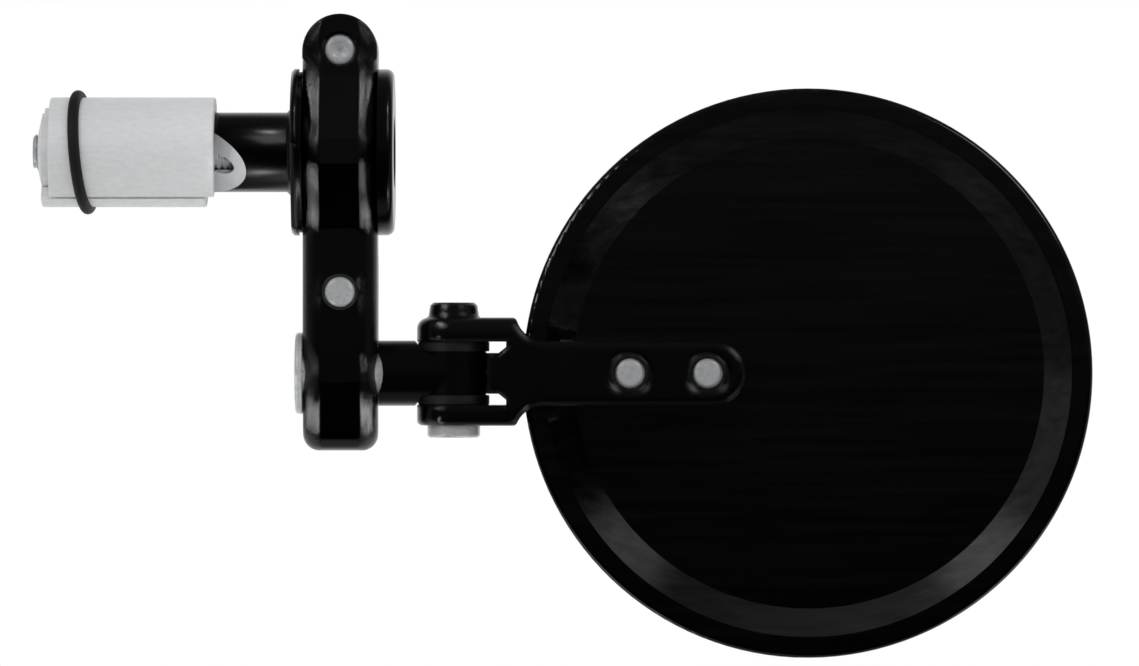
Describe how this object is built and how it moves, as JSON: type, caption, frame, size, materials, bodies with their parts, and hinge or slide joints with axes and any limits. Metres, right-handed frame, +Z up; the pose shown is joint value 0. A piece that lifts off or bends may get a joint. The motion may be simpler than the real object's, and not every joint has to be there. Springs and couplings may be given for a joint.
{
  "type": "motorcycle bar end mirror",
  "caption": "Round bar end mirror: an expanding plug for the end of a handlebar, a clamped swing arm, a twisting stalk, and a knuckle that tilts the convex glass.",
  "frame": {"origin": "on the handlebar's axis, at the flange face that seats against the end of the bar", "axes": "+X outboard along the handlebar's axis, +Z up, +Y towards the rider, the way the glass faces"},
  "size_m": [0.1411, 0.0222, 0.0857],
  "materials": {
    "black_anodised": "black anodised, semi-gloss",
    "bright_aluminium": "turned, satin",
    "bright_steel": "zinc bright",
    "washer_plastic": "moulded, satin",
    "ring_rubber": "matt",
    "pad_foam": "adhesive foam",
    "silvered_glass": "convex mirror"
  },
  "bodies": {
    "bar_anchor": {"bar_stem": "black_anodised", "wedge_nut": "bright_aluminium", "draw_bolt": "bright_steel", "sleeve_front_half": "bright_aluminium", "sleeve_rear_half": "bright_aluminium", "sleeve_ring": "ring_rubber", "hub_cap": "black_anodised"},
    "arm": {"swing_arm": "black_anodised", "hub_pinch_screw": "bright_steel", "stalk_pinch_screw": "bright_steel"},
    "stalk": {"pivot_pin": "bright_steel", "mirror_stalk": "black_anodised", "upper_washer": "washer_plastic", "lower_washer": "washer_plastic"},
    "head": {"mirror_bracket": "black_anodised", "knuckle_bolt": "bright_steel", "mirror_screws": "bright_steel", "mirror_housing": "black_anodised", "glass_pad": "pad_foam", "mirror_glass": "silvered_glass"}
  },
  "joints": [
    {"name": "arm_swing", "type": "hinge", "parent": "bar_anchor", "child": "arm", "pos_m": [0, 0, 0], "axis": [1, 0, 0], "continuous": true},
    {"name": "stalk_twist", "type": "hinge", "parent": "arm", "child": "stalk", "pos_m": [0, 0, -0.0294], "axis": [1, 0, 0], "continuous": true},
    {"name": "head_tilt", "type": "hinge", "parent": "stalk", "child": "head", "pos_m": [0.0215, 0, -0.0294], "axis": [0, 0, 1], "range_deg": [-90, 90]}
  ]
}
